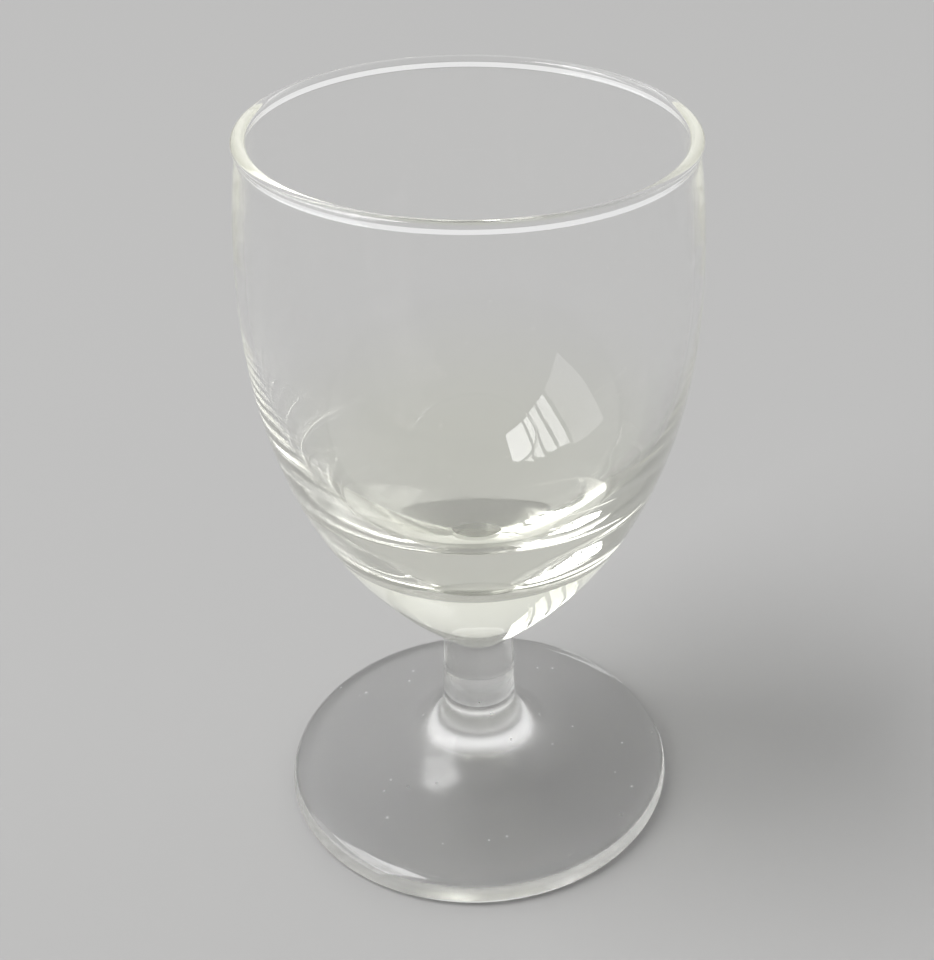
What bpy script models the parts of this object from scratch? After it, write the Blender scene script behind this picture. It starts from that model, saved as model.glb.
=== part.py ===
"""Stemmed shot glass of clear glass: a bowl, a short stem and a foot, welded hot end to end."""

import math

import bpy

# Driving dimensions, in metres.
FOOT_RADIUS = 0.0220
FOOT_HEIGHT = 0.0124  # up to the weld on top of the neck
NECK_LENGTH = 0.0005  # straight part of the neck, under the weld
FLARE_WIDTH = 0.0092  # from the neck out to where the plate is straight
PLATE_RISE = 0.0009  # from the rolled edge in to the flare
PLATE_EDGE = 0.0027  # height of the plate where it rolls over to the edge
EDGE_ROLL = 0.0020  # width of that roll
EDGE_LIFT = 0.0008  # height of the widest line
REST_RING_INSET = 0.0008  # from the widest line in to the ring
REST_RING_WIDTH = 0.0016  # flat ring that the glass stands on
HOLLOW_RISE = 0.0030  # bell-shaped hollow inside the ring

STEM_LENGTH = 0.0078
STEM_LOWER_RADIUS = 0.0041  # also the neck's
STEM_UPPER_RADIUS = 0.0039  # also the weld face's under the bowl

BOWL_HEIGHT = 0.0592
BOWL_BASE = 0.0138  # solid glass under the cavity
BELLY_RADIUS = 0.02295
BELLY_BELOW_RIM = 0.0152
BELLY_WALL = 0.00095
RIM_RADIUS = 0.02215
BEAD_WIDTH = 0.0014  # fire-polished bead along the rim
BEAD_CROWN = 0.00045  # height of its rounded top
BEAD_LIP_OUTSIDE = 0.00032
BEAD_LIP_INSIDE = 0.00038
BEAD_TAPER_OUTSIDE = 0.00075  # height over which a lip runs out into the wall
BEAD_TAPER_INSIDE = 0.00095

WELD_GAP = 0.0003  # clearance kept at each weld

# How full the curves are: handle lengths as shares of the spans that they cross.
FLARE_DOWNWARD = 0.50
FLARE_INWARD = 0.58
EDGE_UPWARD = 0.50
EDGE_OUTWARD = 0.60
UNDERCUT = 0.55
HOLLOW_CROWN = 0.29
HOLLOW_SIDE = 0.44
HOLLOW_SIDE_HEIGHT = 0.13
BASE_OUTWARD = 0.53
BASE_UPWARD = 0.245
BELLY_DOWNWARD = 0.555
CAVITY_DOWNWARD = 0.606
CAVITY_OUTWARD = 0.705

# Facets.
TURN_STEPS = 72
LONG_CURVE = 17
SHORT_CURVE = 9
WALL_CURVE = 6

GLASS_COLOUR = (0.93, 0.95, 0.88, 1.0)
GLASS_ROUGHNESS = 0.03
GLASS_INDEX = 1.52


def arc(centre, across, upward, start, end, count):
    """Points on an ellipse about centre, from one angle to another."""
    angles = [start + (end - start) * i / (count - 1) for i in range(count)]
    return [
        (centre[0] + across * math.cos(a), centre[1] + upward * math.sin(a)) for a in angles
    ]


def bezier(start, handle_a, handle_b, end, count):
    """Points along a cubic curve with two handles."""
    points = []
    for i in range(count):
        t = i / (count - 1)
        shares = ((1 - t) ** 3, 3 * t * (1 - t) ** 2, 3 * t * t * (1 - t), t**3)
        corners = (start, handle_a, handle_b, end)
        points.append(tuple(sum(s * c[k] for s, c in zip(shares, corners)) for k in (0, 1)))
    return points


def leaning_wall(low, high, count):
    """Points up a wall that starts upright at low and leans in, along a parabola, to high."""
    points = []
    for i in range(count):
        t = i / (count - 1)
        radius = low[0] + (high[0] - low[0]) * t * t
        points.append((radius, low[1] + (high[1] - low[1]) * t))
    return points


def foot_profile():
    """Radius and height from the neck's weld face down the flare, over the plate, and under."""
    neck = (STEM_LOWER_RADIUS, FOOT_HEIGHT - NECK_LENGTH)
    flare_end = (STEM_LOWER_RADIUS + FLARE_WIDTH, PLATE_EDGE + PLATE_RISE)
    plate_end = (FOOT_RADIUS - EDGE_ROLL, PLATE_EDGE)
    widest = (FOOT_RADIUS, EDGE_LIFT)
    ring_outer = (FOOT_RADIUS - REST_RING_INSET, 0.0)
    ring_inner = (ring_outer[0] - REST_RING_WIDTH, 0.0)
    slope = PLATE_RISE / (plate_end[0] - flare_end[0])

    inward = FLARE_WIDTH * FLARE_INWARD
    flare = bezier(
        neck,
        (neck[0], neck[1] - (neck[1] - flare_end[1]) * FLARE_DOWNWARD),
        (flare_end[0] - inward, flare_end[1] + inward * slope),
        flare_end,
        LONG_CURVE,
    )

    outward = EDGE_ROLL * EDGE_OUTWARD
    edge = bezier(
        plate_end,
        (plate_end[0] + outward, plate_end[1] - outward * slope),
        (widest[0], widest[1] + (PLATE_EDGE - EDGE_LIFT) * EDGE_UPWARD),
        widest,
        SHORT_CURVE,
    )
    under = bezier(
        widest,
        (widest[0], EDGE_LIFT * (1 - UNDERCUT)),
        (ring_outer[0] + REST_RING_INSET * UNDERCUT, 0.0),
        ring_outer,
        WALL_CURVE,
    )
    hollow = bezier(
        ring_inner,
        (ring_inner[0] * HOLLOW_SIDE, HOLLOW_RISE * HOLLOW_SIDE_HEIGHT),
        (ring_inner[0] * HOLLOW_CROWN, HOLLOW_RISE),
        (0.0, HOLLOW_RISE),
        LONG_CURVE,
    )
    return [(0.0, FOOT_HEIGHT), (STEM_LOWER_RADIUS, FOOT_HEIGHT)] + flare + edge + under[1:] + hollow


def stem_profile():
    """Radius and height of the tapered rod, from its upper weld face to its lower one."""
    return [
        (0.0, STEM_LENGTH),
        (STEM_UPPER_RADIUS, STEM_LENGTH),
        (STEM_LOWER_RADIUS, 0.0),
        (0.0, 0.0),
    ]


def bowl_profile():
    """Radius and height from the cavity's floor up the inside, over the rim and down the outside."""
    belly = BOWL_HEIGHT - BELLY_BELOW_RIM
    cavity_radius = BELLY_RADIUS - BELLY_WALL
    depth = belly - BOWL_BASE
    floor = bezier(
        (0.0, BOWL_BASE),
        (cavity_radius * CAVITY_OUTWARD, BOWL_BASE),
        (cavity_radius, belly - depth * CAVITY_DOWNWARD),
        (cavity_radius, belly),
        LONG_CURVE,
    )

    bead_centre = (RIM_RADIUS - BEAD_WIDTH / 2, BOWL_HEIGHT - BEAD_CROWN)
    bead = arc(bead_centre, BEAD_WIDTH / 2, BEAD_CROWN, math.pi, 0.0, SHORT_CURVE)
    inner_lip = (bead[0][0] + BEAD_LIP_INSIDE, bead[0][1] - BEAD_TAPER_INSIDE)
    outer_lip = (bead[-1][0] - BEAD_LIP_OUTSIDE, bead[-1][1] - BEAD_TAPER_OUTSIDE)
    inner_wall = leaning_wall((cavity_radius, belly), inner_lip, WALL_CURVE)
    outer_wall = leaning_wall((BELLY_RADIUS, belly), outer_lip, WALL_CURVE)[::-1]

    flare = BELLY_RADIUS - STEM_UPPER_RADIUS
    base = bezier(
        (BELLY_RADIUS, belly),
        (BELLY_RADIUS, belly * (1 - BELLY_DOWNWARD)),
        (STEM_UPPER_RADIUS + flare * BASE_OUTWARD, belly * BASE_UPWARD),
        (STEM_UPPER_RADIUS, 0.0),
        LONG_CURVE,
    )
    return floor + inner_wall[1:] + bead + outer_wall + base[1:] + [(0.0, 0.0)]


def clear_glass(name):
    """Clear glass with a faint straw tint."""
    material = bpy.data.materials.new(name)
    material.use_nodes = True
    shader = material.node_tree.nodes["Principled BSDF"]
    shader.inputs["Base Color"].default_value = GLASS_COLOUR
    shader.inputs["Roughness"].default_value = GLASS_ROUGHNESS
    shader.inputs["Metallic"].default_value = 0.0
    shader.inputs["IOR"].default_value = GLASS_INDEX
    shader.inputs["Transmission Weight"].default_value = 1.0
    return material


def turned(name, profile, height, holder, collection):
    """One turned piece: its profile, spun about +Z, standing at a height on the glass's axis."""
    points = [(radius, 0.0, z) for radius, z in profile]
    edges = [(i, i + 1) for i in range(len(points) - 1)]
    mesh = bpy.data.meshes.new(name)
    mesh.from_pydata(points, edges, [])
    mesh.materials.append(clear_glass(name + "_glass"))

    piece = bpy.data.objects.new(name, mesh)
    piece.location.z = height
    piece.parent = holder
    collection.objects.link(piece)

    screw = piece.modifiers.new("turn", "SCREW")
    screw.axis = "Z"
    screw.angle = 2 * math.pi
    screw.steps = TURN_STEPS
    screw.render_steps = TURN_STEPS
    screw.use_merge_vertices = True
    screw.merge_threshold = 0.000001
    screw.use_smooth_shade = True
    return piece


def main():
    for item in list(bpy.data.objects):
        bpy.data.objects.remove(item, do_unlink=True)

    collection = bpy.data.collections.new("shot_glass")
    bpy.context.scene.collection.children.link(collection)
    holder = bpy.data.objects.new("shot_glass", None)
    collection.objects.link(holder)

    stem_height = FOOT_HEIGHT + WELD_GAP
    bowl_height = stem_height + STEM_LENGTH + WELD_GAP
    turned("foot", foot_profile(), 0.0, holder, collection)
    turned("stem", stem_profile(), stem_height, holder, collection)
    turned("bowl", bowl_profile(), bowl_height, holder, collection)


main()
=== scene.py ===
import math

import bpy
from mathutils import Matrix, Vector


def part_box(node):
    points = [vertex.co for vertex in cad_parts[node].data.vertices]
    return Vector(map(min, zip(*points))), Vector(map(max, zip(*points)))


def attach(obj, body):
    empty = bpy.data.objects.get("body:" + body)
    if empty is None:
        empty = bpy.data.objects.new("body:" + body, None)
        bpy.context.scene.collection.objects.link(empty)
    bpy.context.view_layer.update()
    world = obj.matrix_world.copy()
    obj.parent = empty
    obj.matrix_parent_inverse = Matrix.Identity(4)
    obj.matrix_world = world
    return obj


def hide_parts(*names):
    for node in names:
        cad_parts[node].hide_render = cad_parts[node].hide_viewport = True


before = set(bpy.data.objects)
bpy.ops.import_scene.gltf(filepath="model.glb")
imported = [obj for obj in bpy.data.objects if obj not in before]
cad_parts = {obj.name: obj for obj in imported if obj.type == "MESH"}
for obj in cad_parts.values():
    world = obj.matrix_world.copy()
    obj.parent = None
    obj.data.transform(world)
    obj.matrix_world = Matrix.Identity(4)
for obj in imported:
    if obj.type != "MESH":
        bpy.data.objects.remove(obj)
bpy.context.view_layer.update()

# Sizes in metres: the outer ones are the CAD's, and the curves of the thick glass are a little finer
MM = 0.001
foot_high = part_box("foot")[1]
bowl_low, bowl_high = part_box("bowl")

FOOT_RADIUS = foot_high[0]
NECK_RADIUS = 4.1 * MM
NECK_TOP = foot_high[2]
NECK_LENGTH = 0.5 * MM
FLARE_WIDTH = 9.2 * MM
PLATE_EDGE = 2.7 * MM
PLATE_RISE = 0.9 * MM
EDGE_ROLL = 2.0 * MM
EDGE_LIFT = 0.8 * MM
REST_RING_INSET = 0.8 * MM
REST_RING_WIDTH = 1.6 * MM
HOLLOW_RISE = 3.0 * MM

STEM_TOP_RADIUS = 3.9 * MM
WELD_HEIGHT = bowl_low[2]
WELD_LAP = 0.1 * MM
WELD_CHAMFER = 0.05 * MM
WELD_INSET = 0.005 * MM

BELLY_RADIUS = bowl_high[0]
BELLY_HEIGHT = 64.8 * MM
BELLY_WALL = 0.95 * MM
BASE_HANDLE = (13.0 * MM, 29.6 * MM)
BELLY_HANDLE_HEIGHT = 41.2 * MM
CAVITY_FLOOR = 34.6 * MM
CAVITY_FLOOR_HANDLE_RADIUS = 15.5 * MM
CAVITY_SIDE_HANDLE_HEIGHT = 46.5 * MM
RIM_TOP = bowl_high[2]
RIM_RADIUS = 22.15 * MM
BEAD_WIDTH = 1.4 * MM
BEAD_CROWN = 0.45 * MM
LIP_OUTSIDE = 0.32 * MM
LIP_INSIDE = 0.38 * MM
TAPER_OUTSIDE = 0.75 * MM
TAPER_INSIDE = 0.95 * MM
LIP_SOFTENING = 0.08 * MM

# How full the curves are: handle lengths as shares of the spans that they cross
FLARE_DOWNWARD = 0.50
FLARE_INWARD = 0.58
EDGE_UPWARD = 0.50
EDGE_OUTWARD = 0.60
UNDERCUT = 0.55
HOLLOW_CROWN = 0.29
HOLLOW_SIDE = 0.44
HOLLOW_SIDE_HEIGHT = 0.13
LIP_TURN = 0.60

# Steps along the profiles and round the axis
BOWL_STEPS = 56
WALL_STEPS = 14
LIP_TURN_STEPS = 8
TAPER_STEPS = 6
BEAD_STEPS = 28
STEM_STEPS = 12
HOLLOW_STEPS = 40
UNDERCUT_STEPS = 12
EDGE_STEPS = 18
PLATE_STEPS = 12
FLARE_STEPS = 40
NECK_STEPS = 2
TURN_STEPS = 180

WELD_DISTANCE = 0.001 * MM
SMOOTH_ANGLE = math.radians(32)


# Profile curves, each a list of (radius, height)
def curve(a, b, c, d, steps):
    """Points along a cubic curve from a to d, without a itself."""
    points = []
    for i in range(1, steps + 1):
        t = i / steps
        s = 1 - t
        weights = (s * s * s, 3 * s * s * t, 3 * s * t * t, t * t * t)
        points.append(tuple(
            sum(w * p[k] for w, p in zip(weights, (a, b, c, d))) for k in (0, 1)
        ))
    return points


def toward(a, b, share):
    """The point a share of the way from a to b."""
    return (a[0] + (b[0] - a[0]) * share, a[1] + (b[1] - a[1]) * share)


def straight(low, high, steps):
    """Points along a straight line from low to high, without low itself."""
    return [toward(low, high, i / steps) for i in range(1, steps + 1)]


def leaning_wall(low, high, steps):
    """Points along a wall that starts upright at low and leans in to high, without low itself."""
    points = []
    for i in range(1, steps + 1):
        t = i / steps
        points.append((
            low[0] + (high[0] - low[0]) * t * t,
            low[1] + (high[1] - low[1]) * t,
        ))
    return points


def lipped_wall(belly, lip, bead_side):
    """A wall from the belly up to the lip, a soft turn there, and the straight taper to the bead."""
    lean = 2 * (lip[0] - belly[0]) / (lip[1] - belly[1])
    turn_low = (lip[0] - LIP_SOFTENING * lean, lip[1] - LIP_SOFTENING)
    turn_high = toward(lip, bead_side, LIP_SOFTENING / math.dist(lip, bead_side))
    points = leaning_wall(belly, turn_low, WALL_STEPS)
    points += curve(
        turn_low,
        toward(turn_low, lip, LIP_TURN),
        toward(turn_high, lip, LIP_TURN),
        turn_high,
        LIP_TURN_STEPS,
    )
    return points + straight(turn_high, bead_side, TAPER_STEPS)


def rim_bead():
    """The half-round top of the rim, from its outer side over to its inner side."""
    centre = (RIM_RADIUS - BEAD_WIDTH / 2, RIM_TOP - BEAD_CROWN)
    points = []
    for i in range(BEAD_STEPS + 1):
        angle = math.pi * i / BEAD_STEPS
        points.append((
            centre[0] + BEAD_WIDTH / 2 * math.cos(angle),
            centre[1] + BEAD_CROWN * math.sin(angle),
        ))
    return points


def bowl_profile():
    """The bowl from the weld, up the outside, over the bead and down to the cavity floor."""
    weld = (STEM_TOP_RADIUS - WELD_INSET, WELD_HEIGHT)
    outer_belly = (BELLY_RADIUS, BELLY_HEIGHT)
    inner_belly = (BELLY_RADIUS - BELLY_WALL, BELLY_HEIGHT)
    bead = rim_bead()
    outer_lip = (bead[0][0] - LIP_OUTSIDE, bead[0][1] - TAPER_OUTSIDE)
    inner_lip = (bead[-1][0] + LIP_INSIDE, bead[-1][1] - TAPER_INSIDE)

    outside = [(0, WELD_HEIGHT), weld]
    outside += curve(
        weld, BASE_HANDLE, (BELLY_RADIUS, BELLY_HANDLE_HEIGHT), outer_belly, BOWL_STEPS
    )
    outside += lipped_wall(outer_belly, outer_lip, bead[0])
    inside = [inner_belly] + lipped_wall(inner_belly, inner_lip, bead[-1])
    inside.reverse()
    inside += curve(
        inner_belly,
        (inner_belly[0], CAVITY_SIDE_HANDLE_HEIGHT),
        (CAVITY_FLOOR_HANDLE_RADIUS, CAVITY_FLOOR),
        (0, CAVITY_FLOOR),
        BOWL_STEPS,
    )
    return outside + bead[1:-1] + inside


def stem_profile():
    """The stem, lapped a little into the neck below it and the bowl above it."""
    bottom = NECK_TOP - WELD_LAP
    top = WELD_HEIGHT + WELD_LAP
    lower_weld = (NECK_RADIUS, NECK_TOP)
    upper_weld = (STEM_TOP_RADIUS, WELD_HEIGHT)
    points = [(0, bottom), (NECK_RADIUS - WELD_CHAMFER, bottom), lower_weld]
    points += straight(lower_weld, upper_weld, STEM_STEPS)
    return points + [(STEM_TOP_RADIUS, top), (0, top)]


def foot_profile():
    """The foot from its hollow, round the edge, over the plate and up the flare to the neck."""
    hollow_top = (0, HOLLOW_RISE)
    ring_outer = (FOOT_RADIUS - REST_RING_INSET, 0)
    ring_inner = (ring_outer[0] - REST_RING_WIDTH, 0)
    widest = (FOOT_RADIUS, EDGE_LIFT)
    plate_end = (FOOT_RADIUS - EDGE_ROLL, PLATE_EDGE)
    flare_end = (NECK_RADIUS + FLARE_WIDTH, PLATE_EDGE + PLATE_RISE)
    neck = (NECK_RADIUS, NECK_TOP - NECK_LENGTH)
    slope = PLATE_RISE / (plate_end[0] - flare_end[0])
    outward = EDGE_OUTWARD * EDGE_ROLL
    inward = FLARE_INWARD * FLARE_WIDTH

    points = [hollow_top]
    points += curve(
        hollow_top,
        (HOLLOW_CROWN * ring_inner[0], HOLLOW_RISE),
        (HOLLOW_SIDE * ring_inner[0], HOLLOW_SIDE_HEIGHT * HOLLOW_RISE),
        ring_inner,
        HOLLOW_STEPS,
    )
    points.append(ring_outer)
    points += curve(
        ring_outer,
        (ring_outer[0] + UNDERCUT * REST_RING_INSET, 0),
        (FOOT_RADIUS, (1 - UNDERCUT) * EDGE_LIFT),
        widest,
        UNDERCUT_STEPS,
    )
    points += curve(
        widest,
        (FOOT_RADIUS, EDGE_LIFT + EDGE_UPWARD * (PLATE_EDGE - EDGE_LIFT)),
        (plate_end[0] + outward, PLATE_EDGE - outward * slope),
        plate_end,
        EDGE_STEPS,
    )
    points += straight(plate_end, flare_end, PLATE_STEPS)
    points += curve(
        flare_end,
        (flare_end[0] - inward, flare_end[1] + inward * slope),
        (NECK_RADIUS, neck[1] - FLARE_DOWNWARD * (neck[1] - flare_end[1])),
        neck,
        FLARE_STEPS,
    )
    points += straight(neck, (NECK_RADIUS, NECK_TOP), NECK_STEPS)
    points.append((0, NECK_TOP))
    return points


# Turning a profile into a closed glass piece
def turned(name, profile):
    """Draws the profile by extruding one point, spins it round the axis and smooths it."""
    bpy.ops.object.select_all(action="DESELECT")
    bpy.ops.mesh.primitive_plane_add(size=MM)
    piece = bpy.context.object
    piece.name = name
    bpy.ops.object.mode_set(mode="EDIT")
    bpy.ops.mesh.select_all(action="SELECT")
    bpy.ops.mesh.merge(type="CENTER")
    bpy.ops.transform.translate(value=(profile[0][0], 0, profile[0][1]))
    for (r0, z0), (r1, z1) in zip(profile, profile[1:]):
        bpy.ops.mesh.extrude_region_move(
            TRANSFORM_OT_translate={"value": (r1 - r0, 0, z1 - z0)}
        )
    bpy.ops.mesh.select_all(action="SELECT")
    bpy.ops.mesh.spin(steps=TURN_STEPS, angle=2 * math.pi, center=(0, 0, 0), axis=(0, 0, 1))
    bpy.ops.mesh.select_all(action="SELECT")
    bpy.ops.mesh.remove_doubles(threshold=WELD_DISTANCE)
    bpy.ops.mesh.normals_make_consistent(inside=False)
    bpy.ops.object.mode_set(mode="OBJECT")
    bpy.ops.object.shade_smooth_by_angle(angle=SMOOTH_ANGLE)
    return piece


bowl = turned("glass_bowl", bowl_profile())
stem = turned("glass_stem", stem_profile())
foot = turned("glass_foot", foot_profile())


# Glass: colours, and marks of use as repeats in a metre along X, Y and Z and the values they cover
GLASS_INDEX = 1.52
CLEAR = (1, 1, 1, 1)
STRAW = (0.992, 1.0, 0.92, 1)
DEEP_TINT = (0.965, 0.97, 0.80, 1)
DEEP_TINT_DENSITY = 4.5
STRAW_FULL_HEIGHT = 36 * MM
STRAW_CLEAR_HEIGHT = 54 * MM

HAZY_PLATE_RADIUS = 19.0 * MM
POLISHED_EDGE_RADIUS = 20.6 * MM
POLISHED_EDGE_HAZE = 0.03

RIPPLE_DEPTH = 0.02 * MM
LONG_RIPPLES = (50, 50, 190)
SHORT_RIPPLES = (130, 130, 420)
SMUDGE_PATCHES = (110, 110, 80)
SMUDGE_PATCH_RANGE = (0.52, 0.68)
SMUDGE_STREAKS = (900, 900, 300)
SMUDGE_STREAK_RANGE = (0.35, 0.70)
DUST_CELLS = (520, 520, 520)
DUST_DOT_RANGE = (0.12, 0.07)
DUSTY_CELL_RANGE = (0.62, 0.66)
RISING_HAIRS = (70, 1900, 2300)
FALLING_HAIRS = (2100, 90, 1700)
HAIR_RANGE = (0.745, 0.765)


def texture_point(tree, scale):
    """Object coordinates, stretched by a scale for each axis."""
    place_on_piece = tree.nodes.new("ShaderNodeTexCoord")
    stretch = tree.nodes.new("ShaderNodeMapping")
    stretch.inputs["Scale"].default_value = scale
    tree.links.new(place_on_piece.outputs["Object"], stretch.inputs["Vector"])
    return stretch.outputs["Vector"]


def noise(tree, scale, detail=0.0):
    """A cloudy value between about 0.25 and 0.75."""
    node = tree.nodes.new("ShaderNodeTexNoise")
    node.inputs["Scale"].default_value = 1.0
    node.inputs["Detail"].default_value = detail
    tree.links.new(texture_point(tree, scale), node.inputs["Vector"])
    return node.outputs["Fac"]


def stepped(tree, value, start, end):
    """0 at start and 1 at end, with a soft step between them, rising or falling."""
    node = tree.nodes.new("ShaderNodeMapRange")
    node.interpolation_type = "SMOOTHSTEP"
    rising = start < end
    node.inputs["From Min"].default_value = min(start, end)
    node.inputs["From Max"].default_value = max(start, end)
    node.inputs["To Min"].default_value = 0.0 if rising else 1.0
    node.inputs["To Max"].default_value = 1.0 if rising else 0.0
    tree.links.new(value, node.inputs["Value"])
    return node.outputs["Result"]


def maths(tree, operation, a, b):
    """One operation on two values, each a number or another node's output."""
    node = tree.nodes.new("ShaderNodeMath")
    node.operation = operation
    for socket, value in zip(node.inputs, (a, b)):
        if isinstance(value, float):
            socket.default_value = value
        else:
            tree.links.new(value, socket)
    return node.outputs["Value"]


def worn_glass_group():
    """Ripples, smudges, dust and hair scratches of used glass, each with its own amount."""
    tree = bpy.data.node_groups.new("worn_glass", "ShaderNodeTree")
    for amount in ("Haze", "Ripples", "Smudges", "Dust", "Scratches"):
        tree.interface.new_socket(amount, in_out="INPUT", socket_type="NodeSocketFloat")
    tree.interface.new_socket("Roughness", in_out="OUTPUT", socket_type="NodeSocketFloat")
    tree.interface.new_socket("Normal", in_out="OUTPUT", socket_type="NodeSocketVector")
    amounts = tree.nodes.new("NodeGroupInput").outputs
    result = tree.nodes.new("NodeGroupOutput").inputs

    # Long waves round the piece, and shorter ones over them
    waves = maths(tree, "ADD", noise(tree, LONG_RIPPLES), noise(tree, SHORT_RIPPLES))
    bump = tree.nodes.new("ShaderNodeBump")
    bump.inputs["Distance"].default_value = RIPPLE_DEPTH
    tree.links.new(waves, bump.inputs["Height"])
    tree.links.new(amounts["Ripples"], bump.inputs["Strength"])
    tree.links.new(bump.outputs["Normal"], result["Normal"])

    # Smudges: soft patches broken by finer streaks
    patches = stepped(tree, noise(tree, SMUDGE_PATCHES, detail=2.0), *SMUDGE_PATCH_RANGE)
    streaks = stepped(tree, noise(tree, SMUDGE_STREAKS, detail=3.0), *SMUDGE_STREAK_RANGE)
    smudges = maths(tree, "MULTIPLY", maths(tree, "MULTIPLY", patches, streaks), amounts["Smudges"])

    # Dust: a small dot in some of the cells
    cells = tree.nodes.new("ShaderNodeTexVoronoi")
    cells.inputs["Scale"].default_value = 1.0
    tree.links.new(texture_point(tree, DUST_CELLS), cells.inputs["Vector"])
    dots = stepped(tree, cells.outputs["Distance"], *DUST_DOT_RANGE)
    chosen = stepped(tree, cells.outputs["Color"], *DUSTY_CELL_RANGE)
    dust = maths(tree, "MULTIPLY", maths(tree, "MULTIPLY", dots, chosen), amounts["Dust"])

    # Hair scratches in two directions
    rising = stepped(tree, noise(tree, RISING_HAIRS, detail=1.0), *HAIR_RANGE)
    falling = stepped(tree, noise(tree, FALLING_HAIRS, detail=1.0), *HAIR_RANGE)
    scratches = maths(tree, "MULTIPLY", maths(tree, "MAXIMUM", rising, falling), amounts["Scratches"])

    marks = maths(tree, "MAXIMUM", maths(tree, "MAXIMUM", smudges, dust), scratches)
    tree.links.new(maths(tree, "MAXIMUM", marks, amounts["Haze"]), result["Roughness"])
    return tree


worn_glass = worn_glass_group()


def glass(name, **amounts):
    """Clear glass with a faint straw tint in its depth, and the marks of use in these amounts."""
    material = bpy.data.materials.new(name)
    material.use_nodes = True
    nodes = material.node_tree.nodes
    links = material.node_tree.links
    shader = nodes["Principled BSDF"]
    shader.inputs["Base Color"].default_value = CLEAR
    shader.inputs["IOR"].default_value = GLASS_INDEX
    shader.inputs["Transmission Weight"].default_value = 1.0

    marks = nodes.new("ShaderNodeGroup")
    marks.name = "marks_of_use"
    marks.node_tree = worn_glass
    for mark, amount in amounts.items():
        marks.inputs[mark.capitalize()].default_value = amount
    links.new(marks.outputs["Roughness"], shader.inputs["Roughness"])
    links.new(marks.outputs["Normal"], shader.inputs["Normal"])

    depth = nodes.new("ShaderNodeVolumeAbsorption")
    depth.inputs["Color"].default_value = DEEP_TINT
    depth.inputs["Density"].default_value = DEEP_TINT_DENSITY
    links.new(depth.outputs["Volume"], nodes["Material Output"].inputs["Volume"])
    return material


def straw_base(material):
    """Lets the straw tint show in the bowl's thick lower glass, and fades it out above."""
    tree = material.node_tree
    parts = tree.nodes.new("ShaderNodeSeparateXYZ")
    tree.links.new(texture_point(tree, (1, 1, 1)), parts.inputs["Vector"])
    strength = stepped(tree, parts.outputs["Z"], STRAW_CLEAR_HEIGHT, STRAW_FULL_HEIGHT)
    tint = tree.nodes.new("ShaderNodeValToRGB")
    tint.color_ramp.elements[0].color = CLEAR
    tint.color_ramp.elements[1].color = STRAW
    tree.links.new(strength, tint.inputs["Fac"])
    tree.links.new(tint.outputs["Color"], tree.nodes["Principled BSDF"].inputs["Base Color"])


def polished_edge(material):
    """Takes the haze off the foot beyond the plate, towards its polished edge."""
    tree = material.node_tree
    haze = tree.nodes["marks_of_use"].inputs["Haze"]
    from_axis = tree.nodes.new("ShaderNodeVectorMath")
    from_axis.operation = "LENGTH"
    tree.links.new(texture_point(tree, (1, 1, 0)), from_axis.inputs["Vector"])
    on_plate = stepped(tree, from_axis.outputs["Value"], POLISHED_EDGE_RADIUS, HAZY_PLATE_RADIUS)
    plate_haze = maths(tree, "MULTIPLY", on_plate, haze.default_value)
    tree.links.new(maths(tree, "MAXIMUM", plate_haze, POLISHED_EDGE_HAZE), haze)


bowl_glass = glass("bowl_glass", haze=0.0, ripples=0.6, smudges=0.12, dust=0.20, scratches=0.10)
stem_glass = glass("stem_glass", haze=0.04, ripples=0.5, smudges=0.08, dust=0.28, scratches=0.10)
foot_glass = glass("foot_glass", haze=0.20, ripples=0.9, smudges=0.24, dust=0.40, scratches=0.25)
straw_base(bowl_glass)
polished_edge(foot_glass)

PIECES = (
    (bowl, "bowl", bowl_glass),
    (stem, "stem", stem_glass),
    (foot, "foot", foot_glass),
)
for piece, node, clear_glass in PIECES:
    piece.data.materials.append(clear_glass)
    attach(piece, "root")
    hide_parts(node)


# Floor
FLOOR_SIZE = 8.0
FLOOR_DROP = 0.05 * MM
FLOOR_COLOUR = (0.45, 0.448, 0.445, 1)
FLOOR_ROUGHNESS = 0.7
FLOOR_SHINE = 0.2


def pale_floor():
    """A plain pale matt surface."""
    material = bpy.data.materials.new("pale_floor")
    material.use_nodes = True
    shader = material.node_tree.nodes["Principled BSDF"]
    shader.inputs["Base Color"].default_value = FLOOR_COLOUR
    shader.inputs["Roughness"].default_value = FLOOR_ROUGHNESS
    shader.inputs["Specular IOR Level"].default_value = FLOOR_SHINE
    return material


bpy.ops.object.select_all(action="DESELECT")
bpy.ops.mesh.primitive_plane_add(size=FLOOR_SIZE, location=(0, 0, -FLOOR_DROP))
floor = bpy.context.object
floor.name = "floor"
floor.data.materials.append(pale_floor())


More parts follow.
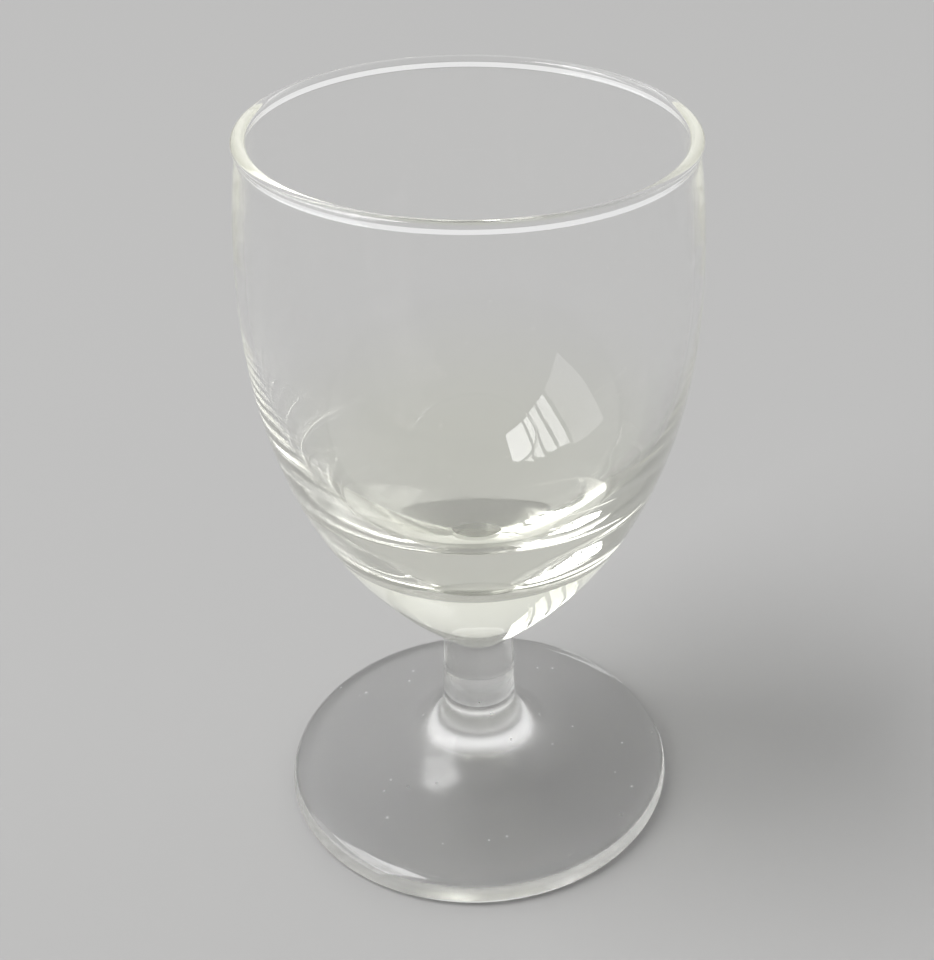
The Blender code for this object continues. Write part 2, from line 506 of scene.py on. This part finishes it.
# Light: a tall window on the left, in panes, dimmer below its sill bar
# A pane's lowest and highest line and its far side are in window distances
WINDOW_DISTANCE = 1.2
WINDOW_NEAR_SIDE = -0.70
WINDOW_PANES = (
    ("window_top_pane", 1.85, 3.30, 0.60, 7.8),
    ("window_upper_pane", 1.47, 1.74, 0.45, 7.6),
    ("window_middle_pane", 1.14, 1.38, 0.33, 7.2),
    ("window_lower_pane", 0.87, 1.07, 0.28, 6.7),
    ("window_sill_pane", 0.30, 0.80, 0.35, 1.8),
)
INTO_THE_ROOM = (0, math.radians(-90), 0)
for name, low, high, far_side, brightness in WINDOW_PANES:
    tall = (high - low) * WINDOW_DISTANCE
    wide = (far_side - WINDOW_NEAR_SIDE) * WINDOW_DISTANCE
    middle = Vector((-1, (WINDOW_NEAR_SIDE + far_side) / 2, (low + high) / 2)) * WINDOW_DISTANCE
    bpy.ops.object.light_add(type="AREA", location=middle, rotation=INTO_THE_ROOM)
    pane = bpy.context.object
    pane.name = name
    pane.data.shape = "RECTANGLE"
    pane.data.size = tall
    pane.data.size_y = wide
    pane.data.energy = brightness * math.pi * tall * wide

# The room all round: dim, with a paler far wall between the horizon and the ceiling
# Ranges are parts of a direction one unit long, sideways or upward
ROOM_LOW_LIGHT = 0.34
ROOM_HIGH_LIGHT = 0.46
ROOM_LIGHT_RANGE = (0.0, 0.8)
FAR_WALL_LIGHT = 0.50
FAR_WALL_RANGE = (-0.1, 0.3)
HORIZON_RANGE = (0.0, 0.05)
CEILING_RANGE = (0.95, 0.6)
ROOM_COLOUR = (1, 1, 1, 1)

world = bpy.data.worlds.new("room")
bpy.context.scene.world = world
world.use_nodes = True
room = world.node_tree
background = room.nodes["Background"]
direction = room.nodes.new("ShaderNodeTexCoord")
parts = room.nodes.new("ShaderNodeSeparateXYZ")
room.links.new(direction.outputs["Generated"], parts.inputs["Vector"])
sideways = parts.outputs["Y"]
upward = parts.outputs["Z"]

rise = stepped(room, upward, *ROOM_LIGHT_RANGE)
rise = maths(room, "MULTIPLY", rise, ROOM_HIGH_LIGHT - ROOM_LOW_LIGHT)
room_light = maths(room, "ADD", rise, ROOM_LOW_LIGHT)
far_wall = maths(room, "MULTIPLY", stepped(room, sideways, *FAR_WALL_RANGE), FAR_WALL_LIGHT)
far_wall = maths(room, "MULTIPLY", far_wall, stepped(room, upward, *HORIZON_RANGE))
far_wall = maths(room, "MULTIPLY", far_wall, stepped(room, upward, *CEILING_RANGE))
background.inputs["Color"].default_value = ROOM_COLOUR
room.links.new(maths(room, "ADD", room_light, far_wall), background.inputs["Strength"])

# Camera at the photograph's angle, with the lens's length and axis in pixels of its frame
IMAGE_WIDTH = 934
IMAGE_HEIGHT = 960
LENS_AXIS = (580, 415)
LENS_LENGTH = 1581.9
SENSOR = 36
CAMERA_SPOT = Vector((0, -141.71 * MM, 133.10 * MM))
CAMERA_PITCH = math.radians(30.81)
CAMERA_YAW = math.radians(4.44)
CAMERA_ROLL = math.radians(1.27)
NEAREST_SHOWN = 5 * MM

camera_data = bpy.data.cameras.new("camera")
camera_data.sensor_width = SENSOR
camera_data.lens = SENSOR * LENS_LENGTH / IMAGE_HEIGHT
camera_data.shift_x = (IMAGE_WIDTH / 2 - LENS_AXIS[0]) / IMAGE_HEIGHT
camera_data.shift_y = (LENS_AXIS[1] - IMAGE_HEIGHT / 2) / IMAGE_HEIGHT
camera_data.clip_start = NEAREST_SHOWN
camera = bpy.data.objects.new("camera", camera_data)
camera.matrix_world = (
    Matrix.Translation(CAMERA_SPOT)
    @ Matrix.Rotation(-CAMERA_YAW, 4, "Z")
    @ Matrix.Rotation(math.pi / 2 - CAMERA_PITCH, 4, "X")
    @ Matrix.Rotation(CAMERA_ROLL, 4, "Z")
)
bpy.context.scene.collection.objects.link(camera)
bpy.context.scene.camera = camera
bpy.context.scene.view_settings.view_transform = "Standard"

# Light is mirrored many times inside thick glass
GLASS_BOUNCES = 128
bpy.context.scene.cycles.max_bounces = GLASS_BOUNCES
bpy.context.scene.cycles.glossy_bounces = GLASS_BOUNCES
bpy.context.scene.cycles.transmission_bounces = GLASS_BOUNCES
